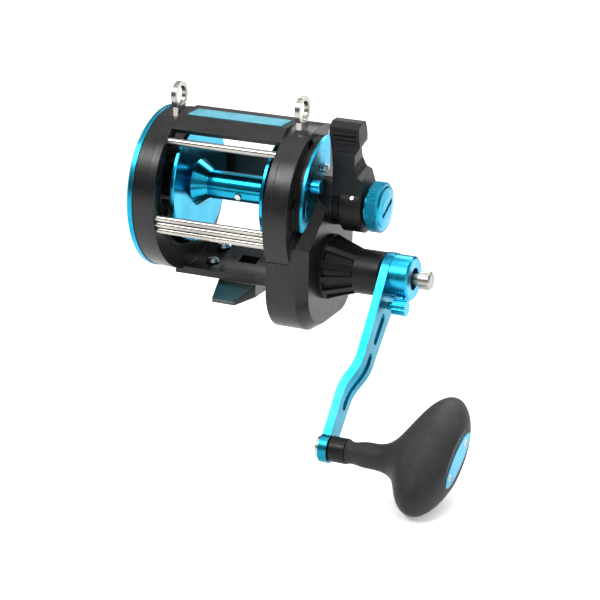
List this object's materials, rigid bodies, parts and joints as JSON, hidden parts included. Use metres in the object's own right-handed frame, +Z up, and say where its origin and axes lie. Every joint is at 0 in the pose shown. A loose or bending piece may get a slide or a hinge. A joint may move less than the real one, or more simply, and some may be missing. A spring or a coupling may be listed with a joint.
{
  "type": "trolling reel",
  "caption": "Two-speed lever drag trolling reel with open frame, narrow arbor spool, gear housing, drag lever with quadrant and a crank with a swivelling T grip.",
  "frame": {"origin": "centre of the flat seat under the reel foot, midway along the spool", "axes": "+Z up from the seat through the frame, +X along the spool axis toward the handle side, +Y toward the rod tip, away from the angler"},
  "size_m": [0.1701, 0.1249, 0.1534],
  "materials": {
    "blue_anodised": "bright cyan-blue anodised, satin to polished",
    "black_anodised": "black anodised, fine satin",
    "black_composite": "black moulded composite, matt",
    "stainless": "polished stainless",
    "screw_steel": "bright machined steel",
    "foot_metal": "dark grey passivated metal",
    "bearing_steel": "ground steel",
    "gear_steel": "cut and hardened steel",
    "brass_alloy": "machined",
    "drag_carbon": "woven carbon friction lining",
    "grip_rubber": "soft-touch matt black"
  },
  "bodies": {
    "frame_body": {"frame": "black_anodised", "crossbar_inlay": "blue_anodised", "upper_rod": "stainless", "lower_rods": "stainless", "reel_foot": "foot_metal", "foot_screws": "screw_steel", "harness_lug_left": "stainless", "harness_lug_right": "stainless", "left_side_plate": "black_anodised", "left_cap_ring": "blue_anodised", "left_plate_screws": "screw_steel", "left_shaft_bearing": "bearing_steel", "right_side_plate": "black_anodised", "quadrant": "blue_anodised", "quadrant_screws": "screw_steel", "right_plate_screws": "screw_steel", "right_shaft_bearing": "bearing_steel", "main_bearing_inner": "bearing_steel", "handle_sleeve": "black_composite", "one_way_clutch": "bearing_steel", "main_bearing_outer": "bearing_steel"},
    "click_body": {"click_button": "blue_anodised", "click_pawl": "gear_steel"},
    "shaft_body": {"spool_shaft": "bearing_steel"},
    "spool_body": {"spool": "blue_anodised", "line_anchor_screw": "screw_steel", "spool_bearings": "bearing_steel", "click_ratchet": "gear_steel", "drag_washer": "drag_carbon"},
    "pinion_body": {"drive_plate": "bearing_steel", "low_pinion": "gear_steel", "high_pinion": "gear_steel"},
    "strike_body": {"strike_stop": "blue_anodised"},
    "lever_body": {"drag_lever": "black_composite", "detent_screw": "screw_steel", "drag_cam": "gear_steel", "spring_washers": "bearing_steel"},
    "preset_body": {"preset_knob": "blue_anodised"},
    "handle_body": {"main_shaft": "bearing_steel", "high_drive_gear": "gear_steel", "handle_boss": "blue_anodised", "grub_screw": "screw_steel", "handle_arm": "blue_anodised", "grip_post": "screw_steel", "grip_collar": "black_composite", "shift_spring": "bearing_steel"},
    "low_gear_body": {"low_drive_gear": "brass_alloy"},
    "shift_body": {"shift_rod": "screw_steel"},
    "latch_body": {"release_latch": "blue_anodised"},
    "grip_spin_body": {"grip_body": "grip_rubber", "grip_bearing": "bearing_steel", "grip_badge": "blue_anodised", "grip_screws": "screw_steel"}
  },
  "joints": [
    {"name": "handle_spin", "type": "hinge", "parent": "frame_body", "child": "handle_body", "pos_m": [0, -0.014, 0.02], "axis": [1, 0, 0], "continuous": true},
    {"name": "pinion_spin", "type": "hinge", "parent": "frame_body", "child": "pinion_body", "pos_m": [0, -0.008, 0.0485], "axis": [1, 0, 0], "continuous": true},
    {"name": "low_gear_spin", "type": "hinge", "parent": "handle_body", "child": "low_gear_body", "pos_m": [0, -0.014, 0.02], "axis": [1, 0, 0], "continuous": true},
    {"name": "shaft_slide", "type": "slide", "parent": "frame_body", "child": "shaft_body", "axis": [1, 0, 0], "range_m": [-0.0005, 0.00005]},
    {"name": "spool_spin", "type": "hinge", "parent": "shaft_body", "child": "spool_body", "pos_m": [0, -0.008, 0.0485], "axis": [1, 0, 0], "continuous": true},
    {"name": "lever_swing", "type": "hinge", "parent": "frame_body", "child": "lever_body", "pos_m": [0, -0.008, 0.0485], "axis": [1, 0, 0], "range_deg": [-8.1, 80.1]},
    {"name": "preset_turn", "type": "hinge", "parent": "lever_body", "child": "preset_body", "pos_m": [0, -0.008, 0.0485], "axis": [1, 0, 0], "range_deg": [-170, 170]},
    {"name": "strike_press", "type": "slide", "parent": "frame_body", "child": "strike_body", "axis": [1, 0, 0], "range_m": [-0.002, 0], "stiffness_N_per_m": 400, "springref_m": 0.0005},
    {"name": "shift_press", "type": "slide", "parent": "handle_body", "child": "shift_body", "axis": [1, 0, 0], "range_m": [-0.0018, 0], "stiffness_N_per_m": 500, "springref_m": 0.001, "deforming": ["shift_spring"]},
    {"name": "latch_slide", "type": "slide", "parent": "handle_body", "child": "latch_body", "axis": [0, -0.6884, -0.7254], "range_m": [0, 0.002], "stiffness_N_per_m": 400, "springref_m": -0.0005},
    {"name": "grip_spin", "type": "hinge", "parent": "handle_body", "child": "grip_spin_body", "pos_m": [0, -0.07182, -0.04093], "axis": [1, 0, 0], "continuous": true},
    {"name": "click_slide", "type": "slide", "parent": "frame_body", "child": "click_body", "axis": [0, 0, 1], "range_m": [0, 0.0035]}
  ],
  "couplings": [
    {"joint": "pinion_spin", "follows": "handle_spin", "ratio": -3.125},
    {"joint": "low_gear_spin", "follows": "handle_spin", "ratio": 1.0312},
    {"joint": "lever_swing", "follows": "shaft_slide", "rad_per_m": -2792.5}
  ]
}
